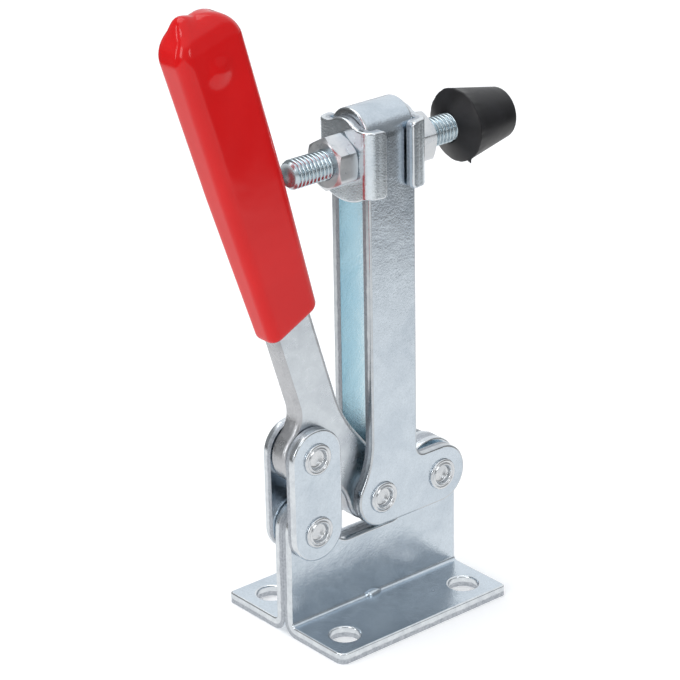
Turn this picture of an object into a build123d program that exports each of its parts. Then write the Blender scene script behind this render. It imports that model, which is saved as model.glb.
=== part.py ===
"""Vertical-handle toggle clamp with a U-bar arm, an adjustable spindle and a back-to-back flanged base.

X runs from the handle side to the pad side, Y runs across the clamp and Z is up.
The origin is the middle of the four mounting holes, on the underside of the base.
The clamp stands open: arm upright, spindle level, handle leaning back.
Every outline in the X-Z plane is drawn at its own place, so the pieces need no moving.
"""
from build123d import *
from math import atan2, cos, degrees, radians, sin, sqrt, tan
import os

# Clearances
running_fit = 0.05        # radial play of a shank in its hole, and of the spindle in its nuts
side_play = 0.1           # side gap between a turning piece and the face beside it
link_play = 0.1           # extra side gap of each link plate, beyond the base webs
tab_play = 0.5            # gap between a saddle washer's tab and the arm's side
slot_play = 0.8           # gap between the spindle and each side of the arm's slot
spindle_grip_gap = 1.8412 # from the grip's front edge to the lower edge of the spindle's end
valley_gap = 3.1          # between the web's valley and the handle's lobe above it
spacer_least = 0.8        # thinnest spacer washer beside a turning piece

# Base: two plates bent to an L and set back to back
base_length = 60.0        # of the flanges
base_width = 48.7
base_sheet = 3.2
base_bend_r = 1.2         # inside radius of the bend
mount_inset_x = 8.35      # from each end of the flange
mount_inset_y = 8.6       # from the flange's long edge
mount_hole_d = 8.4
round_corner_r = 2.6      # the near flange's rear corner
small_corner_r = 1.2      # every other flange corner
ear_b_r = 7.8             # round top of the web about B, and its rear end
ear_d_r = 9.1             # round top of the web about D, and its front end
valley_r = 5.5            # lower corners of the hollow between the two ears

# Pivots, as (x, z) at the open position
pivot_b_z = 30.7
pivot_d_z = 34.6
ground_gap = 21.75        # B to C along X
crank_length = 21.35      # C to D, level when open
link_pitch = 21.8         # B to A
handle_pitch = 28.25      # A to C
web_length = ear_b_r + ground_gap + crank_length + ear_d_r
web_rear = -web_length / 2
web_front = web_length / 2
mount_pitch_x = base_length - 2 * mount_inset_x
mount_pitch_y = base_width - 2 * mount_inset_y


def apart(first, first_reach, second, second_reach):
    """The place at one reach from each of two others, on the left of the way between them."""
    span = (second - first).length
    along = (second - first).normalized()
    run = (first_reach ** 2 - second_reach ** 2 + span ** 2) / (2 * span)
    rise = sqrt(first_reach ** 2 - run ** 2)
    return first + along * run + Vector(-along.Y, along.X) * rise


pivot_b = Vector(web_rear + ear_b_r, pivot_b_z)
pivot_d = Vector(web_front - ear_d_r, pivot_d_z)
pivot_c = pivot_d - Vector(crank_length, 0)
pivot_a = apart(pivot_b, link_pitch, pivot_c, handle_pitch)

# Links
link_sheet = 3.0
link_end_r = 8.4
edge_break = 0.3          # broken edge of a link plate's outline

# Arm: one strip bent to a U, with a foot that carries pivots C and D
arm_sheet = 3.0
arm_width = 16.0
arm_setback = 17.0        # from pivot D back to the middle of the bar
arm_top = 145.1
foot_r = 8.4
rear_blend_r = 26.0
front_blend_r = 2.8
arm_mid_x = pivot_d.X - arm_setback
arm_rear_x = arm_mid_x - arm_width / 2
arm_front_x = arm_mid_x + arm_width / 2

# Handle lever
handle_thickness = 6.0
handle_width = 13.0
handle_tilt = 17.2        # degrees from upright
handle_offset = 7.3       # from pivot A to the bar's centre line
handle_reach = 128.0      # along the bar, from pivot A's level to its tip
handle_a_r = 8.6
handle_c_r = 8.3
handle_notch_r = 8.0      # hollow between the bar and the lobe at A
handle_under_r = 14.6     # hollow between the two lobes
handle_knee_r = 40.0      # hollow where the front edge turns towards C
handle_shin = 0.5         # least straight edge between that hollow and the lobe at C
handle_foot_tilt = 38.5   # degrees from upright, of the edge that runs down to C
handle_round = 1.2
tilt = radians(handle_tilt)
bar_along = Vector(-sin(tilt), cos(tilt))
bar_across = Vector(cos(tilt), sin(tilt))
bar_root = pivot_a + bar_across * handle_offset

# Grip sleeve, with its walls over the bar's edges and over its two faces
grip_start = 38.8         # along the bar, from pivot A's level to the sleeve's mouth
grip_mouth_lean = 9.0     # degrees off square
grip_side_shift = 0.3     # of the sleeve's middle from the bar's, towards the front
grip_mouth_edge = 2.1
grip_mouth_face = 1.8
grip_mouth_r = 3.0
grip_middle = 82.0        # along the bar, from pivot A's level
grip_middle_edge = 3.4
grip_middle_face = 2.75
grip_middle_r = 3.4
grip_top_edge = 3.9
grip_top_face = 3.3
grip_top_r = 3.7
grip_tip_wall = 3.4       # beyond the bar's tip
grip_dome_h = 9.2
grip_dome_steps = (25, 48, 70)

# Pivot rivets, with ring-shaped clenched heads
rivet_r = 3.0
rivet_head_lip = 1.5      # of the head, beyond the shank
rivet_head_h = 0.9
rivet_side_h = 0.45       # upright part of the head's outside
rivet_crest_lip = 0.6     # from the shank out to the middle of the ring's flat top
rivet_crest_w = 0.5
rivet_recess_wall = 0.5   # between the recess and the shank's outside
rivet_recess_depth = 1.9
spacer_r = 6.5

# Spindle, nuts, saddle washers and cap
spindle_drop = 13.4       # below the top of the arm
spindle_r = 4.0
spindle_chamfer = 0.8
nut_flats = 13.0
nut_height = 6.5
nut_sink = 0.4
nut_rear_turn = 0.0       # degrees about the spindle
nut_front_turn = 11.0
hexagon_face_inset = 0.15 # of a hexagon's end circle, inside its flats
head_height = 5.3
cap_reach = 21.4          # from the arm's front edge to the cap's rim
cap_cone = 3.0            # along X, from the neck to the rim
cap_length = 16.2         # from the rim to the pad
cap_neck_wall = 0.4       # over the spindle
cap_rim_wall = 3.7        # over the head's flats, at the rim
cap_pad_wall = 0.5        # over the head's flats, at the pad
cap_pad_round = 1.0
cap_rim_round = 0.35
head_inset = 1.2          # from the cap's rim forward to the bolt head
washer_sheet = 2.4
washer_reach = 6.0        # length of a tab along X, over the plate's own thickness
washer_height = 18.5
washer_bend_r = 0.8
washer_dome_r = 7.0
washer_dome_rise = 11.3   # top of the dome above the spindle
washer_drop = 11.6        # lowest point of the plate below the spindle
washer_drop_r = 15.5
washer_corner_r = 1.4
washer_hole_play = 0.3

# What follows from the sizes above
inner_half = max(base_sheet, handle_thickness / 2)
link_inside = inner_half + link_play
link_outside = link_inside + link_sheet
arm_inside = max(spindle_r + slot_play, inner_half + side_play + spacer_least)
arm_half = arm_inside + arm_sheet
arm_bend_z = arm_top - arm_half
spindle_z = arm_top - spindle_drop
cap_rim_x = arm_front_x + cap_reach
cap_neck_x = cap_rim_x - cap_cone
cap_pad_x = cap_rim_x + cap_length
grip_lean_x = bar_root.X - (spindle_z - spindle_r - bar_root.Y) * tan(tilt)
grip_half_x = (handle_width / 2 + grip_top_edge + grip_side_shift) / cos(tilt)
spindle_rear_x = grip_lean_x + grip_half_x + spindle_grip_gap


def slab(outline, y_from, y_to):
    """A plate with an X-Z outline, between two planes across the clamp."""
    return extrude(Plane.XZ.offset(-y_from) * outline, amount=y_from - y_to)


def disc(center, radius, y_from, y_to):
    """A round bar across the clamp at an (x, z) place."""
    return slab(Pos(center.X, center.Y) * Circle(radius), y_from, y_to)


def rims(plate):
    """The outline of a flat plate on both of its faces."""
    return plate.faces().filter_by(Axis.Y).edges()


def heading(start, end):
    """Angle of the way from one point to another, in degrees."""
    return degrees(atan2(end.Y - start.Y, end.X - start.X))


def sweep_arc(center, radius, start_angle, end_angle, ccw=True):
    """An arc from one angle to another, the way round that is asked for."""
    turn = (end_angle - start_angle) % 360
    return CenterArc(center, radius, start_angle, turn if ccw else turn - 360)


# ---------------------------------------------------------------- base

def base_outline():
    """A plate seen from the side: its flange, and a web with an ear for B, a valley and an ear for D."""
    flange_top = base_sheet + base_bend_r
    left = pivot_b.X + ear_b_r
    right = pivot_d.X - ear_d_r
    valley_z = pivot_c.Y - handle_c_r - valley_gap
    corner_z = valley_z + valley_r
    flange = Pos(0, flange_top / 2) * Rectangle(base_length, flange_top)
    web = make_face([
        Line((web_rear, flange_top), (web_front, flange_top)),
        Line((web_front, flange_top), (web_front, pivot_d.Y)),
        CenterArc(pivot_d, ear_d_r, 0, 180),
        Line((right, pivot_d.Y), (right, corner_z)),
        CenterArc((right - valley_r, corner_z), valley_r, 0, -90),
        Line((right - valley_r, valley_z), (left + valley_r, valley_z)),
        CenterArc((left + valley_r, corner_z), valley_r, 270, -90),
        Line((left, corner_z), (left, pivot_b.Y)),
        CenterArc(pivot_b, ear_b_r, 0, 180),
        Line((web_rear, pivot_b.Y), (web_rear, flange_top)),
    ])
    return flange + web


def bent_section(side):
    """The L of one base plate, seen along X; side is -1 or 1."""
    outer = base_bend_r + base_sheet
    edge = side * base_width / 2
    inner = side * base_sheet
    top = max(pivot_b.Y + ear_b_r, pivot_d.Y + ear_d_r) + base_sheet
    outside_bend = CenterArc((side * outer, outer), outer, 180 if side > 0 else 270, 90)
    inside_bend = CenterArc((side * outer, outer), base_bend_r, 180 if side > 0 else 270, 90)
    return make_face([
        Line((0, outer), (0, top)),
        Line((0, top), (inner, top)),
        Line((inner, top), (inner, outer)),
        inside_bend,
        Line((side * outer, base_sheet), (edge, base_sheet)),
        Line((edge, base_sheet), (edge, 0)),
        Line((edge, 0), (side * outer, 0)),
        outside_bend,
    ])


def base_plate(side, rear_corner_r):
    """One L-shaped plate, with its web trimmed to the ears and its flange drilled."""
    blank = extrude(Plane.YZ * bent_section(side), max(base_length, web_length) / 2, both=True)
    plate = blank & slab(base_outline(), -base_width, base_width)
    upright = plate.edges().filter_by(Axis.Z).filter_by_position(Axis.Z, 0, base_sheet)
    outer = upright.filter_by(lambda e: abs(abs(e.center().Y) - base_width / 2) < base_sheet / 2)
    plate = fillet(outer.sort_by(Axis.X)[0], rear_corner_r)
    upright = plate.edges().filter_by(Axis.Z).filter_by_position(Axis.Z, 0, base_sheet)
    outer = upright.filter_by(lambda e: abs(abs(e.center().Y) - base_width / 2) < base_sheet / 2)
    plate = fillet(outer.sort_by(Axis.X)[-1], small_corner_r)
    for end in (-1, 1):
        place = Pos(end * mount_pitch_x / 2, side * mount_pitch_y / 2, base_sheet / 2)
        plate -= place * Cylinder(mount_hole_d / 2, 2 * base_sheet)
    for pivot in (pivot_b, pivot_d):
        plate -= disc(pivot, rivet_r + running_fit, -base_width, base_width)
    return plate


# ---------------------------------------------------------------- links, arm and handle

def link_plate(side):
    """A flat link with round ends, outside the base webs."""
    middle = (pivot_a + pivot_b) / 2
    slot = Rot(0, 0, heading(pivot_b, pivot_a)) * SlotCenterToCenter(link_pitch, 2 * link_end_r)
    outline = Pos(middle.X, middle.Y) * slot
    faces = sorted((side * link_inside, side * link_outside))
    plate = slab(outline, *faces)
    plate = chamfer(rims(plate), edge_break)
    for pivot in (pivot_a, pivot_b):
        plate -= disc(pivot, rivet_r + running_fit, *faces)
    return plate


def arm_outline():
    """One side plate: the bar, blended into a foot that is rounded about C and D."""
    drop = sqrt((foot_r + rear_blend_r) ** 2 - (pivot_c.X - arm_rear_x + rear_blend_r) ** 2)
    rear_center = Vector(arm_rear_x - rear_blend_r, pivot_c.Y + drop)
    rear_touch = heading(pivot_c, rear_center)
    foot_top = pivot_d.Y + foot_r
    front_center = Vector(arm_front_x + front_blend_r, foot_top + front_blend_r)
    return make_face([
        Line((arm_rear_x, arm_bend_z), (arm_rear_x, rear_center.Y)),
        sweep_arc(rear_center, rear_blend_r, 0, rear_touch + 180, ccw=False),
        sweep_arc(pivot_c, foot_r, rear_touch, 270),
        Line((pivot_c.X, pivot_c.Y - foot_r), (pivot_d.X, pivot_d.Y - foot_r)),
        CenterArc(pivot_d, foot_r, 270, 180),
        Line((pivot_d.X, foot_top), (front_center.X, foot_top)),
        CenterArc(front_center, front_blend_r, 270, -90),
        Line((arm_front_x, front_center.Y), (arm_front_x, arm_bend_z)),
        Line((arm_front_x, arm_bend_z), (arm_rear_x, arm_bend_z)),
    ])


def u_bar_arm():
    """The strip folded over the top, with both feet drilled for C and D."""
    ring = Circle(arm_half) - Circle(arm_inside)
    upper_half = Pos(0, arm_half) * Rectangle(4 * arm_half, 2 * arm_half)
    bend = extrude(Plane.YZ * (Pos(0, arm_bend_z) * (ring & upper_half)), amount=arm_width)
    arm = Pos(arm_rear_x, 0, 0) * bend
    for side in (-1, 1):
        faces = sorted((side * arm_inside, side * arm_half))
        arm += slab(arm_outline(), *faces)
    for pivot in (pivot_c, pivot_d):
        arm -= disc(pivot, rivet_r + running_fit, -arm_half, arm_half)
    return arm


def spacer_washer(pivot, turning_half, side):
    """A plain washer on the arm's inner face, which keeps a turning piece in the middle."""
    faces = sorted((side * (turning_half + side_play), side * arm_inside))
    ring = disc(pivot, spacer_r, *faces)
    return ring - disc(pivot, rivet_r + running_fit, *faces)


def knee():
    """The hollow in the handle's front edge: centre, radius, two ends and the touch on lobe C."""
    foot_angle = radians(handle_foot_tilt)
    foot_down = Vector(sin(foot_angle), -cos(foot_angle))
    foot_out = Vector(cos(foot_angle), sin(foot_angle))
    touch_c = pivot_c + foot_out * handle_c_r
    edge = bar_root + bar_across * (handle_width / 2)
    gap = touch_c - edge
    cross = bar_along.X * foot_down.Y - bar_along.Y * foot_down.X
    up = (gap.X * foot_down.Y - gap.Y * foot_down.X) / cross
    corner = edge + bar_along * up
    half_turn = tan((foot_angle - tilt) / 2)
    length = min(handle_knee_r * half_turn, (corner - touch_c).length - handle_shin)
    radius = length / half_turn
    low = corner + foot_down * length
    return low + foot_out * radius, radius, low, corner + bar_along * length, touch_c


def handle_outline():
    """The bar and its foot: a lobe at A, a lobe at C and hollows on the rear side."""
    half = handle_width / 2
    notch_side = handle_offset - half - handle_notch_r
    notch_up = sqrt((handle_a_r + handle_notch_r) ** 2 - notch_side ** 2)
    notch = pivot_a + bar_across * notch_side + bar_along * notch_up
    under = apart(pivot_c, handle_c_r + handle_under_r, pivot_a, handle_a_r + handle_under_r)
    knee_center, knee_r, knee_low, knee_high, touch_c = knee()
    tip = bar_root + bar_along * (handle_reach - half)
    return make_face([
        Line(touch_c, knee_low),
        sweep_arc(knee_center, knee_r, handle_foot_tilt + 180, handle_tilt + 180, ccw=False),
        Line(knee_high, tip + bar_across * half),
        CenterArc(tip, half, handle_tilt, 180),
        Line(tip - bar_across * half, notch + bar_across * handle_notch_r),
        sweep_arc(notch, handle_notch_r, handle_tilt, heading(notch, pivot_a), ccw=False),
        sweep_arc(pivot_a, handle_a_r, heading(pivot_a, notch), heading(pivot_a, under)),
        sweep_arc(under, handle_under_r, heading(under, pivot_a), heading(under, pivot_c), ccw=False),
        sweep_arc(pivot_c, handle_c_r, heading(pivot_c, under), handle_foot_tilt),
    ])


def handle_lever():
    """The thick forged bar with its rounded outline and its two pivot holes."""
    half = handle_thickness / 2
    bar = slab(handle_outline(), -half, half)
    bar = fillet(rims(bar), handle_round)
    for pivot in (pivot_a, pivot_c):
        bar -= disc(pivot, rivet_r + running_fit, -half, half)
    return bar


def grip_section(distance, edge_wall, face_wall, corner_r, lean=0.0, shrink=1.0):
    """A cross-section of the sleeve at a distance along the bar, square to it or leaning."""
    width = shrink * (handle_width + 2 * edge_wall)
    thickness = shrink * (handle_thickness + 2 * face_wall)
    place = bar_root + bar_along * distance + bar_across * grip_side_shift
    side = tilt + radians(lean)
    plane = Plane(
        origin=(place.X, 0, place.Y),
        x_dir=(cos(side), 0, sin(side)),
        z_dir=(-sin(side), 0, cos(side)),
    )
    return plane * RectangleRounded(width, thickness, shrink * corner_r)


def handle_grip(bar):
    """The sleeve: it swells towards the top, ends in a dome and holds the bar."""
    dome_start = handle_reach + grip_tip_wall - grip_dome_h
    top = (grip_top_edge, grip_top_face, grip_top_r)
    sleeve = loft([
        grip_section(grip_start, grip_mouth_edge, grip_mouth_face, grip_mouth_r, grip_mouth_lean),
        grip_section(grip_middle, grip_middle_edge, grip_middle_face, grip_middle_r),
        grip_section(dome_start, *top),
    ], ruled=True)
    dome = [grip_section(dome_start, *top)]
    for step in grip_dome_steps:
        distance = dome_start + grip_dome_h * sin(radians(step))
        dome.append(grip_section(distance, *top, shrink=cos(radians(step))))
    sleeve += loft(dome)
    return sleeve - bar


# ---------------------------------------------------------------- rivets

def rivet_end(pivot, face, start):
    """Half a rivet: its shank from a start plane, and its ring-shaped head on a face."""
    crest = face + rivet_head_h
    side = face + rivet_side_h
    floor = crest - rivet_recess_depth
    head_r = rivet_r + rivet_head_lip
    crest_r = rivet_r + rivet_crest_lip
    recess_r = rivet_r - rivet_recess_wall
    profile = make_face(Polyline(
        (0, start),
        (rivet_r, start),
        (rivet_r, face),
        (head_r, face),
        (head_r, side),
        (crest_r + rivet_crest_w / 2, crest),
        (crest_r - rivet_crest_w / 2, crest),
        (recess_r, side),
        (recess_r, floor),
        (0, floor),
        close=True,
    ))
    return Pos(pivot.X, 0, pivot.Y) * revolve(profile, Axis.Y)


def rivet(pivot, face):
    """A whole rivet through the clamp, headed on both sides."""
    half = rivet_end(pivot, face, 0)
    return half + mirror(half, Plane.XZ)


# ---------------------------------------------------------------- spindle group

def hexagon_bar(flats, x_from, height, turn):
    """A hexagon along X with its corners chamfered at both ends."""
    prism = extrude(Plane.YZ * (Rot(0, 0, turn) * RegularPolygon(flats / 2, 6, major_radius=False)), height)
    corner = flats / sqrt(3)
    bevel = (corner - flats / 2) * tan(radians(30))
    inward = corner - flats / 2 + hexagon_face_inset
    round_bar = Cylinder(corner, height, rotation=(0, 90, 0), align=(Align.CENTER, Align.CENTER, Align.MIN))
    round_bar = chamfer(round_bar.edges().filter_by(GeomType.CIRCLE), bevel, inward)
    return Pos(x_from, 0, spindle_z) * (prism & round_bar)


def along_x(radius, x_from, x_to):
    """A round bar on the spindle's axis."""
    bar = Cylinder(radius, x_to - x_from, rotation=(0, 90, 0), align=(Align.CENTER, Align.CENTER, Align.MIN))
    return Pos(x_from, 0, spindle_z) * bar


def hex_nut(x_from, turn):
    """A plain nut with countersunk bore ends."""
    nut = hexagon_bar(nut_flats, x_from, nut_height, turn)
    bore_r = spindle_r + running_fit
    nut -= along_x(bore_r, x_from - 1, x_from + nut_height + 1)
    mouths = nut.edges().filter_by(GeomType.CIRCLE).filter_by(lambda e: e.radius < bore_r + nut_sink)
    return chamfer(mouths, nut_sink)


def spindle_bolt():
    """The threaded rod at its outside size, with the hexagon head that the cap hides."""
    head_x = cap_rim_x + head_inset
    rod = along_x(spindle_r, spindle_rear_x, head_x)
    rod = chamfer(rod.edges().filter_by(GeomType.CIRCLE).sort_by(Axis.X)[0], spindle_chamfer)
    return rod + hexagon_bar(nut_flats, head_x, head_height, 0)


def rubber_cap(bolt):
    """The cap: a cone behind the rim, a tapered body and a flat pad, moulded on the head."""
    profile = make_face(Polyline(
        (cap_neck_x, 0),
        (cap_neck_x, spindle_r + cap_neck_wall),
        (cap_rim_x, nut_flats / 2 + cap_rim_wall),
        (cap_pad_x, nut_flats / 2 + cap_pad_wall),
        (cap_pad_x, 0),
        close=True,
    ))
    body = revolve(profile, Axis.X)
    circles = body.edges().filter_by(GeomType.CIRCLE)
    pad_edge = circles.filter_by(lambda e: abs(e.center().X - cap_pad_x) < 0.01)
    body = fillet(pad_edge, cap_pad_round)
    circles = body.edges().filter_by(GeomType.CIRCLE)
    rim_edge = circles.filter_by(lambda e: abs(e.center().X - cap_rim_x) < 0.01)
    body = fillet(rim_edge, cap_rim_round)
    return Pos(0, 0, spindle_z) * body - bolt


def washer_plate_outline():
    """The plate seen along X, about the spindle: a small dome on top and a shallow curve below."""
    half = arm_half + tab_play
    top = washer_height / 2
    dome_y = washer_dome_rise - washer_dome_r
    dome_half = sqrt(washer_dome_r ** 2 - (top - dome_y) ** 2)
    bottom_y = washer_drop_r - washer_drop
    low = bottom_y - sqrt(washer_drop_r ** 2 - half ** 2)
    return make_face([
        Line((half, low), (half, top)),
        Line((half, top), (dome_half, top)),
        ThreePointArc((dome_half, top), (0, washer_dome_rise), (-dome_half, top)),
        Line((-dome_half, top), (-half, top)),
        Line((-half, top), (-half, low)),
        ThreePointArc((-half, low), (0, -washer_drop), (half, low)),
    ])


def saddle_washer(face_x, way):
    """A flanged washer on one edge of the arm; way is +1 where its tabs point along +X."""
    inner = arm_half + tab_play
    outer = inner + washer_sheet
    back = -washer_sheet
    reach = washer_reach - washer_sheet
    channel = make_face(Polyline(
        (back, -outer), (back, outer), (reach, outer), (reach, inner),
        (0, inner), (0, -inner), (reach, -inner), (reach, -outer),
        close=True,
    ))
    shape = extrude(channel, washer_height / 2, both=True)
    upright = shape.edges().filter_by(Axis.Z)
    outside = upright.filter_by(lambda e: e.center().X < back + 0.1)
    shape = fillet(outside, washer_bend_r + washer_sheet)
    tips = shape.edges().filter_by(Axis.Y).filter_by(lambda e: e.center().X > reach - 0.1)
    shape = fillet(tips, washer_corner_r)
    shape += Pos(back, 0, 0) * extrude(Plane.YZ * washer_plate_outline(), washer_sheet)
    if way < 0:
        shape = mirror(shape, Plane.YZ)
    shape = Pos(face_x, 0, spindle_z) * shape
    hole = spindle_r + washer_hole_play
    return shape - along_x(hole, face_x - washer_sheet - 1, face_x + washer_sheet + 1)


# ---------------------------------------------------------------- assembly

def build_parts():
    """Every piece by its node's name."""
    handle_half = handle_thickness / 2
    bar = handle_lever()
    bolt = spindle_bolt()
    b_end = rivet_end(pivot_b, link_outside, link_inside)
    rear_nut_x = arm_rear_x - washer_sheet - nut_height
    front_nut_x = arm_front_x + washer_sheet
    return {
        "base_plate_near": base_plate(-1, round_corner_r),
        "base_plate_far": base_plate(1, small_corner_r),
        "link_plate_near": link_plate(-1),
        "link_plate_far": link_plate(1),
        "u_bar_arm": u_bar_arm(),
        "spacer_c_near": spacer_washer(pivot_c, handle_half, -1),
        "spacer_c_far": spacer_washer(pivot_c, handle_half, 1),
        "spacer_d_near": spacer_washer(pivot_d, base_sheet, -1),
        "spacer_d_far": spacer_washer(pivot_d, base_sheet, 1),
        "handle_lever": bar,
        "handle_grip": handle_grip(bar),
        "rivet_a": rivet(pivot_a, link_outside),
        "rivet_b_near_end": mirror(b_end, Plane.XZ),
        "rivet_b_far_end": b_end,
        "rivet_b_core": disc(pivot_b, rivet_r, -inner_half, inner_half),
        "rivet_c": rivet(pivot_c, arm_half),
        "rivet_d": rivet(pivot_d, arm_half),
        "saddle_washer_rear": saddle_washer(arm_rear_x, 1),
        "saddle_washer_front": saddle_washer(arm_front_x, -1),
        "spindle_nut_rear": hex_nut(rear_nut_x, nut_rear_turn),
        "spindle_nut_front": hex_nut(front_nut_x, nut_front_turn),
        "spindle_bolt": bolt,
        "rubber_cap": rubber_cap(bolt),
    }


os.makedirs("parts", exist_ok=True)
for name, solid in build_parts().items():
    export_step(solid, f"parts/{name}.step")
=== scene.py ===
"""Vertical-handle toggle clamp: zinc-plated linkage, bright spindle group, red dipped grip and black cap.

Every piece is drawn in millimetres where it stands in the model, open as in the photo: X runs from the
handle side to the pad side, Y across the clamp and Z up. make_object turns the millimetres into metres.
"""
from math import acos, asin, atan2, cos, degrees, hypot, pi, radians, sin, sqrt, tan

import bmesh
import bpy
from mathutils import Matrix, Vector
from mathutils.geometry import tessellate_polygon

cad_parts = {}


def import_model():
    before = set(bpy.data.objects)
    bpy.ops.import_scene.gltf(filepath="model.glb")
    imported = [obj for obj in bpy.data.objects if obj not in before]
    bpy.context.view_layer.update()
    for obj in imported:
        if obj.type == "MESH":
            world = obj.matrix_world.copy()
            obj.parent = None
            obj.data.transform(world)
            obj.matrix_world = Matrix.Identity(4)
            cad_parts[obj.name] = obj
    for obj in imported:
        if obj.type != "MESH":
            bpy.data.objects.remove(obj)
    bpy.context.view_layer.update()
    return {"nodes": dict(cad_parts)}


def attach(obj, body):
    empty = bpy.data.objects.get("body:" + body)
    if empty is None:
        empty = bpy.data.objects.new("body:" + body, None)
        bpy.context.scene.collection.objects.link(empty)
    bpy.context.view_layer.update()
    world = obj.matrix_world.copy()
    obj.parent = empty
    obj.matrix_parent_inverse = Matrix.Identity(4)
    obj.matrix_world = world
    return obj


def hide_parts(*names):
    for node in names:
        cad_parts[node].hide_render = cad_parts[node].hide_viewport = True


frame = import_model()
MM = 0.001
SIDES = (("near", -1), ("far", 1))

# ------------------------------------------------------------------ sizes in mm and degrees

# They are the CAD model's own sizes, unless a comment says otherwise.

SIDE_PLAY = 0.1          # beside a turning piece
HOLE_R = 3.05            # of every pivot hole

# Base: two plates bent to an L
BASE_HALF_X = 30.0
BASE_HALF_Y = 24.35
BASE_T = 3.2
BEND_IN = 1.2
BEND_OUT = BEND_IN + BASE_T
MOUNT_X = 21.65
MOUNT_Y = 15.75
MOUNT_R = 4.2
SMALL_CORNER = 1.2
ROUND_CORNER = 2.6       # the near flange's rear corner
EAR_B = 7.8
EAR_D = 9.1
VALLEY_Z = 23.2
VALLEY_R = 5.5

# Pivots, as (x, z)
B = (-22.2, 30.7)
C = (-0.45, 34.6)
D = (20.9, 34.6)
LINK_PITCH = 21.8        # B to A
HANDLE_PITCH = 28.25     # C to A

# Links
LINK_T = 3.0
LINK_R = 8.4
LINK_IN = BASE_T + SIDE_PLAY
LINK_OUT = LINK_IN + LINK_T

# Arm and its spacer washers
ARM_IN = 4.8
ARM_T = 3.0
ARM_OUT = ARM_IN + ARM_T
ARM_REAR = -4.1
ARM_FRONT = 11.9
ARM_BEND_Z = 137.3
ARM_REAR_R = 26.0        # hollow where the rear edge runs into the foot
ARM_FRONT_R = 2.8        # hollow where the front edge runs into the foot
FOOT_R = 8.4
SPACER_R = 6.5

# Handle lever
HANDLE_T = 6.0
HANDLE_HALF = 6.5        # half its width
HANDLE_REACH = 128.0
HANDLE_OFFSET = 7.3      # from pivot A to the bar's middle line
HANDLE_ROUND = 1.25      # a little more than the model's
TILT = 17.2              # of the bar
FOOT_TILT = 38.5         # of the edge that runs down to C
LOBE_A_R = 8.6
LOBE_C_R = 8.3
NOTCH_R = 8.0            # hollow between the bar and the lobe at A
UNDER_R = 14.6           # hollow between the two lobes
KNEE_R = 40.0

# Grip sleeve: place along the bar, width, thickness and corner radius
GRIP_MOUTH = (38.8, 17.2, 9.6, 3.0)
GRIP_MIDDLE = (82.0, 19.8, 11.5, 3.4)
GRIP_TOP = (122.2, 20.8, 12.6, 3.7)
GRIP_DOME = 9.2
GRIP_LEAN = 9.0          # of the mouth
GRIP_SHIFT = 0.3         # of the sleeve's middle from the bar's

# Rivets, nuts, saddle washers and spindle
RIVET_R = 3.0
NUT_FLATS = 13.0
NUT_HEIGHT = 6.5
NUT_BORE = 3.6           # less than the model's, so that it meets the thread
SPINDLE_Z = 131.7
SPINDLE_REAR = -24.9
SPINDLE_FRONT = 38.0
SADDLE_T = 2.4
SADDLE_BEND = 0.8        # inside radius
SADDLE_TAB = 3.6         # reach of a tab along the arm's side
TAB_PLAY = 0.5           # between a tab and the arm's side


# ------------------------------------------------------------------ outlines

def arc(cx, cy, r, start, end, step=5.0):
    """Points of an arc from one angle to another, in degrees, the way the angles run."""
    n = max(2, int(abs(end - start) / step + 0.999))
    angles = [radians(start + (end - start) * i / n) for i in range(n + 1)]
    return [(cx + r * cos(a), cy + r * sin(a)) for a in angles]


def swept(cx, cy, r, start, end, ccw):
    """An arc between two angles, the way round that is asked for."""
    turn = (end - start) % 360
    return arc(cx, cy, r, start, start + (turn if ccw else turn - 360))


def ring(cx, cy, r, n=40):
    """A round hole, clockwise."""
    return [(cx + r * cos(-2 * pi * i / n), cy + r * sin(-2 * pi * i / n)) for i in range(n)]


def heading(start, end):
    """The direction from one point to another, in degrees."""
    return degrees(atan2(end[1] - start[1], end[0] - start[0]))


def meet(p, rp, q, rq):
    """The point at two distances from two points, on the left of the way from p to q."""
    dx, dy = q[0] - p[0], q[1] - p[1]
    span = hypot(dx, dy)
    run = (rp * rp - rq * rq + span * span) / (2 * span)
    rise = sqrt(rp * rp - run * run)
    ux, uy = dx / span, dy / span
    return (p[0] + ux * run - uy * rise, p[1] + uy * run + ux * rise)


def without_doubles(points, least=0.02):
    """The loop without points that lie on their neighbours."""
    out = []
    for p in points:
        if not out or hypot(p[0] - out[-1][0], p[1] - out[-1][1]) > least:
            out.append(p)
    if hypot(out[0][0] - out[-1][0], out[0][1] - out[-1][1]) < least:
        out.pop()
    return out


def inset(loop, distance):
    """The loop moved to its left by a distance, and by no more than twice that at a sharp corner."""
    out = []
    n = len(loop)
    for i in range(n):
        ax, ay = loop[i - 1]
        bx, by = loop[i]
        cx, cy = loop[(i + 1) % n]
        ux, uy = bx - ax, by - ay
        vx, vy = cx - bx, cy - by
        lu, lv = hypot(ux, uy), hypot(vx, vy)
        nx, ny = -uy / lu - vy / lv, ux / lu + vx / lv
        size = hypot(nx, ny)
        nx, ny = nx / size, ny / size
        grow = distance / max(0.5, (nx * -uy + ny * ux) / lu)
        out.append((bx + nx * grow, by + ny * grow))
    return out


A = meet(B, LINK_PITCH, C, HANDLE_PITCH)


# ------------------------------------------------------------------ meshes

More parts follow.
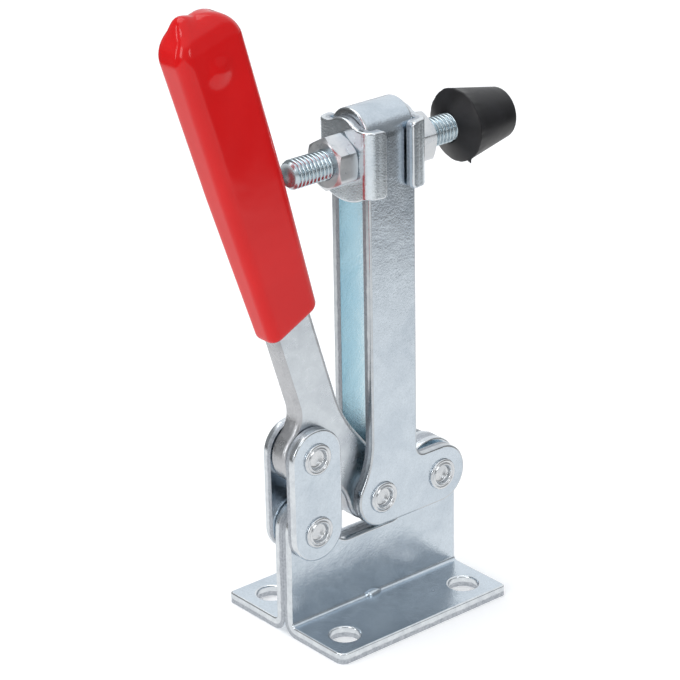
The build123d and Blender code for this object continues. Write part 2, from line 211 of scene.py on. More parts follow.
def make_object(name, cad, bm, body, materials, sharp=32.0, weighted=True):
    """Turns a bmesh in mm into a piece that rides on a body and stands for a CAD node."""
    bmesh.ops.scale(bm, vec=(MM, MM, MM), verts=bm.verts)
    bmesh.ops.recalc_face_normals(bm, faces=bm.faces)
    mesh = bpy.data.meshes.new(name)
    bm.to_mesh(mesh)
    bm.free()
    for polygon in mesh.polygons:
        polygon.use_smooth = True
    mesh.set_sharp_from_angle(angle=radians(sharp))
    for surface in materials:
        mesh.materials.append(surface)
    piece = bpy.data.objects.new(name, mesh)
    bpy.context.scene.collection.objects.link(piece)
    if weighted:
        normals = piece.modifiers.new("normals", "WEIGHTED_NORMAL")
        normals.keep_sharp = True
        normals.weight = 60
    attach(piece, body)
    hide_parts(cad)


def edge_profile(t, roll=0.55, burr=0.16):
    """Punched edge from the burr face to the rolled face, as (inset, height).

    Above the burr come the torn band with its slight hollow, the smooth band and the rolled rim.
    """
    rings = [(burr, 0.0), (burr * 0.35, burr * 0.35), (0.03, burr), (0.09, t * 0.30), (0.05, t * 0.44)]
    rings += [(0.0, t * 0.50), (0.0, t - roll * 0.85)]
    for step in (22, 45, 68, 90):
        rings.append((roll * (1 - cos(radians(step))), t - roll * 0.85 * (1 - sin(radians(step)))))
    return rings


def round_profile(t, r):
    """Both edges of a thick bar rounded alike, as (inset, height)."""
    low = [(r * (1 - sin(radians(a))), r * (1 - cos(radians(a)))) for a in (0, 18, 36, 54, 72, 90)]
    return low + [(d, t - h) for d, h in reversed(low)]


def band(bm, low, high, surface=0):
    """Faces between two closed rows with as many points each."""
    for i in range(len(low)):
        j = (i + 1) % len(low)
        face = bm.faces.new((low[i], low[j], high[j], high[i]))
        face.material_index = surface


def plate_bmesh(outer, holes, profile):
    """A flat plate in (u, v, w): the faces are material 0 and the cut edges material 1."""
    bm = bmesh.new()
    depth = bm.verts.layers.float.new("depth")
    top = profile[-1][1]
    first_rows = []
    last_rows = []
    for loop in [without_doubles(points) for points in (outer, *holes)]:
        rows = []
        for distance, w in profile:
            row = []
            for u, v in inset(loop, distance):
                vert = bm.verts.new((u, v, w))
                vert[depth] = w / top
                row.append(vert)
            rows.append(row)
        first_rows.append(rows[0])
        last_rows.append(rows[-1])
        for low, high in zip(rows, rows[1:]):
            band(bm, low, high, 1)
    for side in (first_rows, last_rows):
        flat = [vert for row in side for vert in row]
        for corners in tessellate_polygon([[vert.co for vert in row] for row in side]):
            if len({*corners}) == 3:
                bm.faces.new([flat[i] for i in corners])
    return bm


def cut_lines(bm, axis, values):
    """Adds edges across a flat plate, so that it can be bent there."""
    for value in values:
        point = [0, 0, 0]
        normal = [0, 0, 0]
        point[axis] = value
        normal[axis] = 1
        geometry = bm.verts[:] + bm.edges[:] + bm.faces[:]
        bmesh.ops.bisect_plane(bm, geom=geometry, plane_co=point, plane_no=normal, dist=1e-4)


def bend(bm, place):
    """Moves every point of a plate to its place."""
    for vert in bm.verts:
        vert.co = place(*vert.co)


def moved(bm, matrix):
    """The bmesh, turned and shifted by a matrix."""
    bmesh.ops.transform(bm, matrix=matrix, verts=bm.verts)
    return bm


def joined(first, second):
    """Adds the second bmesh to the first."""
    mesh = bpy.data.meshes.new("join")
    second.to_mesh(mesh)
    second.free()
    first.from_mesh(mesh)
    bpy.data.meshes.remove(mesh)
    return first


def lathe(profile, n):
    """A revolved form about X from (x, radius) points; a radius of 0 closes it."""
    bm = bmesh.new()
    rows = []
    for x, r in profile:
        angles = [2 * pi * i / n for i in range(n if r else 1)]
        rows.append([bm.verts.new((x, r * cos(a), r * sin(a))) for a in angles])
    for a, b in zip(rows, rows[1:]):
        for i in range(n):
            j = (i + 1) % n
            corners = []
            for row, k in ((a, i), (a, j), (b, j), (b, i)):
                vert = row[k % len(row)]
                if vert not in corners:
                    corners.append(vert)
            bm.faces.new(corners)
    return bm


def flat_piece(name, cad, body, outline, holes, profile, y_from, y_to, materials):
    """A flat plate across the clamp; its rolled face is at y_to."""
    bm = plate_bmesh(outline, holes, profile)
    way = 1 if y_to > y_from else -1
    bend(bm, lambda u, v, w: (u, y_from + way * w, v))
    make_object(name, cad, bm, body, materials)


# ------------------------------------------------------------------ material nodes

WHITE = (1.0, 1.0, 1.0)
SMOOTH = "SMOOTHSTEP"


def grey(level):
    """A colour with three equal channels."""
    return (level, level, level)


def tinted(colour, tint):
    """A colour times a tint, channel by channel."""
    return tuple(c * k for c, k in zip(colour, tint))


def fill(tree, target, values):
    """Gives a node's inputs numbers, vectors, colours or other nodes' outputs."""
    for key, value in values.items():
        socket = target.inputs[key]
        if isinstance(value, bpy.types.NodeSocket):
            tree.links.new(value, socket)
        elif socket.type == "RGBA":
            socket.default_value = (*value, 1)
        else:
            socket.default_value = value


def node(tree, kind, values, **settings):
    """A node with its settings made and its inputs filled."""
    made = tree.nodes.new(kind)
    for key, value in settings.items():
        setattr(made, key, value)
    fill(tree, made, values)
    return made


def material(name):
    """A new material, its node tree, its shader and the object's own coordinates."""
    made = bpy.data.materials.new(name)
    made.use_nodes = True
    tree = made.node_tree
    shader = next(n for n in tree.nodes if n.type == "BSDF_PRINCIPLED")
    return made, tree, shader, node(tree, "ShaderNodeTexCoord", {}).outputs["Object"]


def noise(tree, coords, scale, detail, rough, distortion=0.0, squash=None):
    """A noise; a squash below one draws it out along that axis."""
    if squash:
        coords = node(tree, "ShaderNodeMapping", {"Vector": coords, "Scale": squash}).outputs["Vector"]
    values = {"Vector": coords, "Scale": scale, "Detail": detail, "Roughness": rough,
              "Distortion": distortion}
    return node(tree, "ShaderNodeTexNoise", values).outputs["Fac"]


def ramp(tree, factor, stops):
    """A colour that follows a factor, from (place, colour) stops."""
    made = node(tree, "ShaderNodeValToRGB", {"Fac": factor})
    elements = made.color_ramp.elements
    while len(elements) < len(stops):
        elements.new(0.5)
    for element, (place, colour) in zip(elements, stops):
        element.position = place
        element.color = (*colour, 1)
    return made.outputs["Color"]


def levels(tree, value, source, target, curve="LINEAR"):
    """A value taken from one range to another."""
    values = {"Value": value, "From Min": source[0], "From Max": source[1],
              "To Min": target[0], "To Max": target[1]}
    return node(tree, "ShaderNodeMapRange", values, interpolation_type=curve).outputs["Result"]


def mix(tree, factor, first, second):
    """A blend of two colours; the node's colour sockets share their names, so they go by number."""
    return node(tree, "ShaderNodeMix", {0: factor, 6: first, 7: second}, data_type="RGBA").outputs[2]


def maths(tree, operation, *values):
    """The result of one operation on one or two values."""
    return node(tree, "ShaderNodeMath", dict(enumerate(values)), operation=operation).outputs[0]


def reach(tree, coords, direction):
    """How far coordinates lie along a direction."""
    product = node(tree, "ShaderNodeVectorMath", {0: coords, 1: direction}, operation="DOT_PRODUCT")
    return product.outputs["Value"]


def bump(tree, layers):
    """A chain of bumps, each a height with a strength and a depth in metres."""
    normal = {}
    for height, strength, depth in layers:
        values = {"Height": height, "Strength": strength, "Distance": depth, **normal}
        normal = {"Normal": node(tree, "ShaderNodeBump", values).outputs["Normal"]}
    return normal["Normal"]


def mixed_shader(tree, factor, first, second):
    """The first shader where the factor is nothing, and the second where it is one."""
    return node(tree, "ShaderNodeMixShader", {0: factor, 1: first, 2: second}).outputs[0]


def mirrored(tree, path):
    """One where a reflection looks, and nothing elsewhere."""
    return maths(tree, "MAXIMUM", path["Is Glossy Ray"], path["Is Transmission Ray"])


# ------------------------------------------------------------------ materials

def zinc(name, light=(0.63, 0.70, 0.765), dark=(0.51, 0.58, 0.65), rough=(0.17, 0.28), grain=1.0):
    """Bright zinc plate: pale blue-grey with a faint cloud, fine pits and rolling marks drawn out along Z."""
    made, tree, shader, coords = material(name)
    cloud = noise(tree, coords, scale=55, detail=5, rough=0.62, distortion=0.6)
    patch = noise(tree, coords, scale=340, detail=4, rough=0.6, distortion=0.3)
    pits = noise(tree, coords, scale=1700, detail=3, rough=0.65)
    rolling = noise(tree, coords, scale=900, detail=3, rough=0.6, squash=(1.0, 1.0, 0.20))
    clouded = ramp(tree, cloud, [(0.30, dark), (0.55, light), (0.80, tinted(light, grey(1.04)))])
    flecked = mix(tree, levels(tree, patch, (0.35, 0.70), (0.0, 0.22)), clouded, dark)
    salt = levels(tree, pits, (0.40, 0.66), (0.0, 0.12 * grain))
    gloss = maths(tree, "ADD", maths(tree, "MULTIPLY", patch, 0.6), maths(tree, "MULTIPLY", cloud, 0.4))
    relief = [(cloud, 0.30 * grain, 0.0006), (patch, 0.22 * grain, 0.00012),
              (rolling, 0.06 * grain, 0.00006), (pits, 0.34 * grain, 0.00013)]
    fill(tree, shader, {
        "Base Color": mix(tree, salt, flecked, tinted(dark, grey(0.62))),
        "Roughness": levels(tree, gloss, (0.3, 0.7), rough),
        "Metallic": 1.0,
        "Normal": bump(tree, relief),
    })
    return made


def cut_edge(name, tint=WHITE):
    """Punched edge: a smooth bright band below the rolled rim, then the grey torn band."""
    made, tree, shader, coords = material(name)
    depth = node(tree, "ShaderNodeAttribute", {}, attribute_name="depth").outputs["Fac"]
    wander = noise(tree, coords, scale=420, detail=3, rough=0.6)
    tear = noise(tree, coords, scale=1500, detail=4, rough=0.7)
    height = maths(tree, "ADD", depth, maths(tree, "MULTIPLY", wander, 0.22))
    torn = levels(tree, height, (0.60, 0.52), (0.0, 1.0))
    smooth_band = ramp(tree, wander, [(0.35, tinted((0.62, 0.66, 0.70), tint)),
                                      (0.65, tinted((0.72, 0.76, 0.79), tint))])
    torn_band = ramp(tree, tear, [(0.30, tinted((0.30, 0.33, 0.37), tint)),
                                  (0.70, tinted((0.58, 0.61, 0.65), tint))])
    fill(tree, shader, {
        "Base Color": mix(tree, torn, smooth_band, torn_band),
        "Roughness": levels(tree, torn, (0.0, 1.0), (0.20, 0.46)),
        "Metallic": 1.0,
        "Normal": bump(tree, [(maths(tree, "MULTIPLY", tear, torn), 0.5, 0.00012), (wander, 0.12, 0.00008)]),
    })
    return made


def bright_steel(name, rough, squash=(0.05, 1.0, 1.0), tint=WHITE):
    """Bright turned parts: near-white plate with fine marks and a little stain."""
    made, tree, shader, coords = material(name)
    cloud = noise(tree, coords, scale=260, detail=4, rough=0.6, distortion=0.4)
    marks = noise(tree, coords, scale=3200, detail=2, rough=0.5, squash=squash)
    speck = noise(tree, coords, scale=1900, detail=4, rough=0.65)
    plate = ramp(tree, cloud, [(0.32, tinted((0.58, 0.61, 0.64), tint)),
                               (0.56, tinted((0.70, 0.72, 0.74), tint)),
                               (0.80, tinted((0.76, 0.78, 0.79), tint))])
    fill(tree, shader, {
        "Base Color": mix(tree, levels(tree, speck, (0.55, 0.75), (0.0, 0.25)), plate, (0.44, 0.46, 0.49)),
        "Roughness": levels(tree, cloud, (0.3, 0.7), rough),
        "Metallic": 1.0,
        "Normal": bump(tree, [(cloud, 0.15, 0.0002), (marks, 0.10, 0.00003), (speck, 0.12, 0.00003)]),
    })
    return made


def red_vinyl(name):
    """Dipped red vinyl: deep gloss with slow waves, fine flow lines down the sleeve and a few dust nibs."""
    made, tree, shader, coords = material(name)
    waves = noise(tree, coords, scale=38, detail=3, rough=0.5, distortion=0.3)
    flow = noise(tree, coords, scale=260, detail=3, rough=0.55, squash=(1.0, 1.0, 0.12))
    nibs = noise(tree, coords, scale=1100, detail=2, rough=0.5)
    fill(tree, shader, {
        "Base Color": ramp(tree, waves, [(0.3, (0.60, 0.006, 0.007)), (0.7, (0.66, 0.009, 0.010))]),
        "Roughness": levels(tree, flow, (0.3, 0.7), (0.10, 0.15)),
        "IOR": 1.54,
        "Specular IOR Level": 0.3,
        "Normal": bump(tree, [(waves, 0.30, 0.0010), (flow, 0.10, 0.00012), (nibs, 0.05, 0.00004)]),
    })
    return made


def rubber(name):
    """Moulded black rubber: satin, with a fine spark-eroded grain and grey bloom in patches."""
    made, tree, shader, coords = material(name)
    bloom = noise(tree, coords, scale=180, detail=4, rough=0.6, distortion=0.4)
    grain = noise(tree, coords, scale=2400, detail=3, rough=0.6)
    fill(tree, shader, {
        "Base Color": ramp(tree, bloom, [(0.35, (0.006, 0.006, 0.007)), (0.75, (0.015, 0.015, 0.018))]),
        "Roughness": levels(tree, bloom, (0.3, 0.7), (0.34, 0.48)),
        "Specular IOR Level": 0.38,
        "Normal": bump(tree, [(grain, 0.25, 0.00006), (bloom, 0.15, 0.0003)]),
    })
    return made


ZINC = zinc("zinc_plate")
# The arm's inner face: a lighter, bluer copy of the zinc plate, which is a painted reflection.
ZINC_INSIDE_PAINTED_REFLECTION = zinc("zinc_inside_painted_reflection", light=(0.68, 0.83, 0.89), dark=(0.60, 0.77, 0.85), rough=(0.16, 0.26))
ZINC_WASHER = zinc("zinc_washer", light=(0.74, 0.80, 0.84), dark=(0.62, 0.69, 0.75), rough=(0.20, 0.30),
                   grain=0.8)
ZINC_HANDLE = zinc("zinc_forging", light=(0.67, 0.72, 0.76), dark=(0.52, 0.56, 0.61), rough=(0.22, 0.36),
                   grain=0.8)
# The handle's rounded edges and notch: a darker copy of the forging's zinc, which is painted shade, with a
# coarser grain.
HANDLE_EDGE_PAINTED_SHADE = zinc("zinc_forging_edge_painted_shade", light=(0.56, 0.57, 0.59), dark=(0.34, 0.35, 0.37), rough=(0.20, 0.38),
                   grain=1.6)
EDGE = cut_edge("zinc_cut_edge")
# The arm's cut edges: the same punched edge made darker, which is painted shade.
ARM_EDGE_PAINTED_SHADE = cut_edge("zinc_cut_edge_arm_painted_shade", tint=grey(0.80))
BRIGHT = bright_steel("bright_steel", rough=(0.24, 0.38))
THREAD = bright_steel("thread_steel", rough=(0.18, 0.30), tint=(0.80, 0.90, 0.94))
RIVET = bright_steel("rivet_steel", rough=(0.16, 0.30), squash=(1.0, 1.0, 1.0))
RED = red_vinyl("red_vinyl")
RUBBER = rubber("black_rubber")


# ------------------------------------------------------------------ base

BEND_ARC = pi / 2 * (BEND_OUT - BASE_T / 2)
WEB_LIFT = BEND_ARC - BEND_OUT     # from a height on the web to its place on the flat blank


def base_outline(rear_corner):
    """The flat blank of one base plate: the flange below zero and the web above the bend."""
    edge = -(BASE_HALF_Y - BEND_OUT)
    left = B[0] + EAR_B + VALLEY_R
    right = D[0] - EAR_D - VALLEY_R
    floor = VALLEY_Z + VALLEY_R + WEB_LIFT
    outline = arc(-BASE_HALF_X + rear_corner, edge + rear_corner, rear_corner, 180, 270, 12)
    outline += arc(BASE_HALF_X - SMALL_CORNER, edge + SMALL_CORNER, SMALL_CORNER, 270, 360, 18)
    outline += [(BASE_HALF_X, 0), (BASE_HALF_X, BEND_ARC)]
    outline += arc(D[0], D[1] + WEB_LIFT, EAR_D, 0, 180)
    outline += arc(right, floor, VALLEY_R, 0, -90, 9)
    outline += arc(left, floor, VALLEY_R, 270, 180, 9)
    outline += arc(B[0], B[1] + WEB_LIFT, EAR_B, 0, 180)
    outline += [(-BASE_HALF_X, BEND_ARC), (-BASE_HALF_X, 0)]
    return outline


def base_holes():
    """The two mounting holes and the two pivot holes of one plate."""
    mounts = [ring(x, BEND_OUT - MOUNT_Y, MOUNT_R, 48) for x in (-MOUNT_X, MOUNT_X)]
    return mounts + [ring(x, z + WEB_LIFT, HOLE_R) for x, z in (B, D)]


def pressed_mark():
    """The small egg-shaped swelling in the near plate's bend."""
    middle_x, half, thick, sunk = -0.9, 2.9, 1.45, 0.15
    profile = [(-half * cos(radians(a)), thick * sin(radians(a))) for a in range(0, 180, 12)] + [(half, 0.0)]
    corner = BASE_T + sunk
    return moved(lathe(profile, 32), Matrix.Translation((middle_x, -corner, corner)))


def base_plate(label, side, rear_corner, bend_steps=10):
    """One plate, drawn flat and bent to an L."""
    bm = plate_bmesh(base_outline(rear_corner), base_holes(), edge_profile(BASE_T))
    cut_lines(bm, 1, [BEND_ARC * i / bend_steps for i in range(bend_steps + 1)])

    def place(u, s, w):
        if s <= 0:
            return u, side * (BEND_OUT - s), w
        if s >= BEND_ARC:
            return u, side * w, BEND_OUT + s - BEND_ARC
        turn = s / BEND_ARC * pi / 2
        r = BEND_OUT - w
        return u, side * (BEND_OUT - r * sin(turn)), BEND_OUT - r * cos(turn)

    bend(bm, place)
    if label == "near":
        joined(bm, pressed_mark())
    make_object(f"base_sheet_{label}", f"base_plate_{label}", bm, "base", (ZINC, EDGE))


base_plate("near", -1, ROUND_CORNER)
base_plate("far", 1, SMALL_CORNER)


# ------------------------------------------------------------------ links

def link_outline():
    """A straight-sided plate with round ends about A and B."""
    up = heading(B, A)
    return arc(*A, LINK_R, up - 90, up + 90) + arc(*B, LINK_R, up + 90, up + 270)


for label, way in SIDES:
    flat_piece(f"link_{label}", f"link_plate_{label}", "links", link_outline(),
               [ring(*A, HOLE_R), ring(*B, HOLE_R)], edge_profile(LINK_T), way * LINK_IN, way * LINK_OUT,
               (ZINC, EDGE))


# ------------------------------------------------------------------ arm

ARM_ARC = pi * (ARM_IN + ARM_T / 2)


def arm_side():
    """One side of the arm as (x, z): down its front edge, round the foot and up its rear edge."""
    drop = sqrt((FOOT_R + ARM_REAR_R) ** 2 - (C[0] - ARM_REAR + ARM_REAR_R) ** 2)
    rear = (ARM_REAR - ARM_REAR_R, C[1] + drop)
    touch = heading(C, rear)
    side = [(ARM_FRONT, ARM_BEND_Z)]
    side += arc(ARM_FRONT + ARM_FRONT_R, D[1] + FOOT_R + ARM_FRONT_R, ARM_FRONT_R, 180, 270, 9)
    side += arc(*D, FOOT_R, 90, -90)
    side += swept(*C, FOOT_R, 270, touch, False)
    side += swept(*rear, ARM_REAR_R, touch + 180, 360, True)
    side += [(ARM_REAR, ARM_BEND_Z)]
    return side


def arm_strip(bend_steps=24):
    """The arm's strip, drawn flat and bent to a U; its inner face is material 2, a lighter zinc with a
    painted reflection.
    """
    side = arm_side()
    half = ARM_ARC / 2 + ARM_BEND_Z
    outline = [(x, half - z) for x, z in side] + [(x, z - half) for x, z in reversed(side)]
    holes = [ring(x, way * (half - z), HOLE_R) for x, z in (C, D) for way in (1, -1)]
    bm = plate_bmesh(outline, holes, edge_profile(ARM_T, roll=0.6))
    cut_lines(bm, 1, [ARM_ARC * (i / bend_steps - 0.5) for i in range(bend_steps + 1)])
    depth = bm.verts.layers.float["depth"]
    for face in bm.faces:
        if all(vert[depth] < 1e-3 for vert in face.verts):
            face.material_index = 2

    def place(u, s, w):
        r = ARM_IN + w
        if abs(s) >= ARM_ARC / 2:
            way = 1 if s > 0 else -1
            return u, way * r, ARM_BEND_Z - (abs(s) - ARM_ARC / 2)
        turn = s / ARM_ARC * pi
        return u, r * sin(turn), ARM_BEND_Z + r * cos(turn)

    bend(bm, place)
    make_object("arm_strip", "u_bar_arm", bm, "arm", (ZINC, ARM_EDGE_PAINTED_SHADE, ZINC_INSIDE_PAINTED_REFLECTION))


def spacer(name, cad, center, y_from, y_to):
    """A plain washer about a pivot, between the arm and what turns beside it."""
    flat_piece(name, cad, "arm", ring(*center, SPACER_R, 56)[::-1], [ring(*center, HOLE_R)],
               edge_profile(abs(y_to - y_from), roll=0.3, burr=0.1), y_from, y_to, (ZINC, EDGE))


arm_strip()
for label, way in SIDES:
    spacer(f"spacer_handle_{label}", f"spacer_c_{label}", C, way * (HANDLE_T / 2 + SIDE_PLAY), way * ARM_IN)
    spacer(f"spacer_base_{label}", f"spacer_d_{label}", D, way * (BASE_T + SIDE_PLAY), way * ARM_IN)


# ------------------------------------------------------------------ handle

ALONG = (-sin(radians(TILT)), cos(radians(TILT)))
ACROSS = (cos(radians(TILT)), sin(radians(TILT)))


def along_from(point, across, along):
    """The point at a distance across the bar and a distance along it from another."""
    return tuple(p + a * across + b * along for p, a, b in zip(point, ACROSS, ALONG))


ROOT = along_from(A, HANDLE_OFFSET, 0)


def handle_outline():
    """From where the knee's edge meets the lobe at C: knee, bar, notch, lobe at A, hollow and lobe at C."""
    side = HANDLE_OFFSET - HANDLE_HALF - NOTCH_R
    notch = along_from(A, side, sqrt((LOBE_A_R + NOTCH_R) ** 2 - side ** 2))
    under = meet(C, LOBE_C_R + UNDER_R, A, LOBE_A_R + UNDER_R)
    down = (sin(radians(FOOT_TILT)), -cos(radians(FOOT_TILT)))
    out = (cos(radians(FOOT_TILT)), sin(radians(FOOT_TILT)))
    touch = (C[0] + out[0] * LOBE_C_R, C[1] + out[1] * LOBE_C_R)
    edge = along_from(ROOT, HANDLE_HALF, 0)
    gx, gy = touch[0] - edge[0], touch[1] - edge[1]
    rise = (gx * down[1] - gy * down[0]) / (ALONG[0] * down[1] - ALONG[1] * down[0])
    corner = along_from(edge, 0, rise)
    length = KNEE_R * tan(radians(FOOT_TILT - TILT) / 2)
    low = (corner[0] + down[0] * length, corner[1] + down[1] * length)
    knee = (low[0] + out[0] * KNEE_R, low[1] + out[1] * KNEE_R)
    tip = along_from(ROOT, 0, HANDLE_REACH - HANDLE_HALF)
    points = [touch]
    points += arc(*knee, KNEE_R, FOOT_TILT + 180, TILT + 180, 2)
    points += arc(*tip, HANDLE_HALF, TILT, TILT + 180, 9)
    points += swept(*notch, NOTCH_R, TILT, heading(notch, A), False)
    points += swept(*A, LOBE_A_R, heading(A, notch), heading(A, under), True)
    points += swept(*under, UNDER_R, heading(under, A), heading(under, C), False)
    points += swept(*C, LOBE_C_R, heading(C, under), FOOT_TILT, True)
    return points


flat_piece("handle_bar", "handle_lever", "handle", handle_outline(), [ring(*A, HOLE_R), ring(*C, HOLE_R)],
           round_profile(HANDLE_T, HANDLE_ROUND), -HANDLE_T / 2, HANDLE_T / 2, (ZINC_HANDLE, HANDLE_EDGE_PAINTED_SHADE))


# ------------------------------------------------------------------ grip

# The mouth's rolled lip: rise from the mouth, width, thickness and corner radius
GRIP_LIP = ((4.0, 13.3, 6.3, 1.4), (0.3, 13.4, 6.4, 1.5), (0.04, 14.6, 7.4, 2.0), (0.14, 16.2, 8.8, 2.6),
            (0.6, 17.0, 9.4, 3.0))
GRIP_LIP_TOP = 40.0            # along the bar, where the plain sleeve starts
GRIP_ROWS = 82
DOME_ROWS = 18
DOME_STEP = 4.7                # degrees

# Marks on the near side: x, z, radius and height
GRIP_BULGE = (-50.2, 167.0, 4.8, 0.95)
GRIP_DENT = (-53.2, 167.4, 1.7, -0.30)

# The drip point at the tip
DRIP_PLACE = (-57.6, 0.0, 178.9)
DRIP_RADIUS = 4.8
DRIP_PULL = 2.2
DRIP_WAY = (-0.40, 0.85)       # in x and z
HIGHEST = 180.785              # just under the top of the CAD model


def rounded_box(width, thick, r, corner_steps=12, side_steps=14):
    """A rounded rectangle as points, counter-clockwise, with points along its straight sides too."""
    corners = []
    for quarter, (sx, sy) in enumerate(((1, 1), (-1, 1), (-1, -1), (1, -1))):
        corners.append(arc(sx * (width / 2 - r), sy * (thick / 2 - r), r, quarter * 90, quarter * 90 + 90,
                           90.0 / corner_steps))
    points = []
    for corner, following in zip(corners, corners[1:] + corners[:1]):
        (ax, ay), (bx, by) = corner[-1], following[0]
        points += corner
        for i in range(1, side_steps):
            k = i / side_steps
            points.append((ax + (bx - ax) * k, ay + (by - ay) * k))
    return points


def swelling(point, center, radius):
    """One at the centre and nothing beyond the radius, with a smooth way between."""
    away = (Vector(point) - Vector(center)).length / radius
    return (1 - away * away) ** 2 if away < 1 else 0.0


def grip_sections():
    """The sleeve's sections from its mouth to its domed end, as (along, width, thickness, radius, lean)."""
    lean = tan(radians(GRIP_LEAN))
    sections = [(GRIP_MOUTH[0] + rise, *size, lean) for rise, *size in GRIP_LIP]
    for i in range(GRIP_ROWS):
        along = GRIP_LIP_TOP + (GRIP_TOP[0] - GRIP_LIP_TOP) * i / (GRIP_ROWS - 1)
        low, high = (GRIP_MOUTH, GRIP_MIDDLE) if along < GRIP_MIDDLE[0] else (GRIP_MIDDLE, GRIP_TOP)
        k = (along - low[0]) / (high[0] - low[0])
        size = [a + (b - a) * k for a, b in zip(low[1:], high[1:])]
        fade = max(0.0, GRIP_MIDDLE[0] - along) / (GRIP_MIDDLE[0] - GRIP_MOUTH[0])
        sections.append((along, *size, lean * fade))
    for i in range(1, DOME_ROWS + 1):
        a = radians(i * DOME_STEP)
        size = [full * cos(a) for full in GRIP_TOP[1:]]
        sections.append((GRIP_TOP[0] + GRIP_DOME * sin(a), *size, 0.0))
    return sections


def shape_grip(vert):
    """Adds the marks on the near side and draws out the drip point."""
    side = vert.co.y
    if side < 0:
        for x, z, radius, height in (GRIP_BULGE, GRIP_DENT):
            vert.co.y -= height * swelling(vert.co, (x, side, z), radius)
    pull = DRIP_PULL * swelling(vert.co, DRIP_PLACE, DRIP_RADIUS)
    vert.co.x += DRIP_WAY[0] * pull
    vert.co.z = min(vert.co.z + DRIP_WAY[1] * pull, HIGHEST)


def grip():
    """The dipped sleeve: a skin through its sections, closed by a point at the tip."""
    bm = bmesh.new()
    loops = []
    for along, width, thick, r, lean in grip_sections():
        loop = []
        for u, v in rounded_box(width, thick, r):
            x, z = along_from(ROOT, u + GRIP_SHIFT, along + u * lean)
            vert = bm.verts.new((x, v, z))
            shape_grip(vert)
            loop.append(vert)
        loops.append(loop)
    for low, high in zip(loops, loops[1:]):
        band(bm, low, high)
    x, z = along_from(ROOT, GRIP_SHIFT, GRIP_TOP[0] + GRIP_DOME)
    tip = bm.verts.new((x, 0, z))
    last = loops[-1]
    for a, b in zip(last, last[1:] + last[:1]):
        bm.faces.new((a, b, tip))
    make_object("grip_sleeve", "handle_grip", bm, "handle", (RED,), sharp=60, weighted=False)


grip()


# ------------------------------------------------------------------ rivets

# A clenched head: an outer ring, a groove, an inner ring and the recess, as (rise from the face, radius)
RIVET_HEAD = ((0.01, 4.25), (0.05, 4.42), (0.30, 4.50), (0.52, 4.43), (0.67, 4.24), (0.74, 3.98),
              (0.72, 3.74), (0.60, 3.56), (0.66, 3.44), (0.80, 3.30), (0.85, 3.12), (0.76, 2.93),
              (0.52, 2.80), (0.10, 2.72), (-0.40, 2.64), (-0.62, 2.46), (-0.72, 2.10), (-0.66, 1.20),
              (-0.60, 0.0))


def rivet_half(center, way, face, inner):
    """One head on a face, and its shank down to an inner plane."""
    profile = [(inner, 0.0), (inner, RIVET_R - 0.05), (face - 0.02, RIVET_R)]
    profile += [(face + rise, r) for rise, r in RIVET_HEAD]
    turn = Matrix(((0, 1, 0, center[0]), (way, 0, 0, 0), (0, 0, 1, center[1]), (0, 0, 0, 1)))
    return moved(lathe(profile, 64), turn)


def rivet(name, cad, bm, body):
    """A rivet, or one end of one, as a piece."""
    make_object(name, cad, bm, body, (RIVET,), sharp=50, weighted=False)


for label, center, body, face in (("a", A, "links", LINK_OUT), ("c", C, "arm", ARM_OUT),
                                  ("d", D, "arm", ARM_OUT)):
    both = joined(rivet_half(center, -1, face, 0.0), rivet_half(center, 1, face, 0.0))
    rivet(f"rivet_{label}_tube", f"rivet_{label}", both, body)
for label, way in SIDES:
    rivet(f"rivet_b_{label}", f"rivet_b_{label}_end", rivet_half(B, way, LINK_OUT, LINK_IN), "links")
CORE = frame["nodes"]["rivet_b_core"]
CORE.data.materials.clear()
CORE.data.materials.append(RIVET)


# ------------------------------------------------------------------ spindle and nuts

# One pitch of the thread, as (part of the pitch, part of the depth)
THREAD_SHAPE = ((0.0, 1.0), (0.10, 0.985), (0.20, 0.78), (0.33, 0.38), (0.43, 0.06), (0.50, 0.0),
                (0.57, 0.06), (0.67, 0.38), (0.80, 0.78), (0.90, 0.985))


def at_spindle(bm, x=0.0, turn=0.0):
    """What was made about X, set on the spindle's axis."""
    return moved(bm, Matrix.Translation((x, 0, SPINDLE_Z)) @ Matrix.Rotation(radians(turn), 4, "X"))


def threaded_rod(x_from, x_to, pitch=1.25, outer=3.98, depth=0.68, chamfer=0.8, n=60):
    """A right-hand thread as one winding strip, with a chamfered start and a slightly hollow end face."""
    bm = bmesh.new()
    steps = n * (int((x_to - x_from) / pitch) + 2)
    strips = []
    for i in range(steps + 1):
        angle = 2 * pi * i / n
        row = []
        for part, height in THREAD_SHAPE:
            x = x_from - pitch + pitch * (i / n + part)
            r = min(outer - depth * (1 - height), outer - chamfer + max(0.0, x - x_from))
            x = min(max(x, x_from), x_to)
            row.append(bm.verts.new((x, r * cos(angle), r * sin(angle))))
        strips.append(row)
    for i in range(steps):
        row, beside = strips[i], strips[i + 1]
        for k in range(len(THREAD_SHAPE) - 1):
            bm.faces.new((row[k], beside[k], beside[k + 1], row[k + 1]))
        if i + n < steps:
            bm.faces.new((row[-1], beside[-1], strips[i + 1 + n][0], strips[i + n][0]))
    rim = outer - chamfer
    joined(bm, lathe([(x_from, rim + 0.01), (x_from + 0.05, rim - 0.25), (x_from + 0.10, 1.6),
                      (x_from + 0.04, 0.5), (x_from + 0.04, 0.0)], n))
    bmesh.ops.remove_doubles(bm, verts=bm.verts, dist=1e-5)
    bmesh.ops.dissolve_degenerate(bm, edges=bm.edges, dist=1e-5)
    return bm


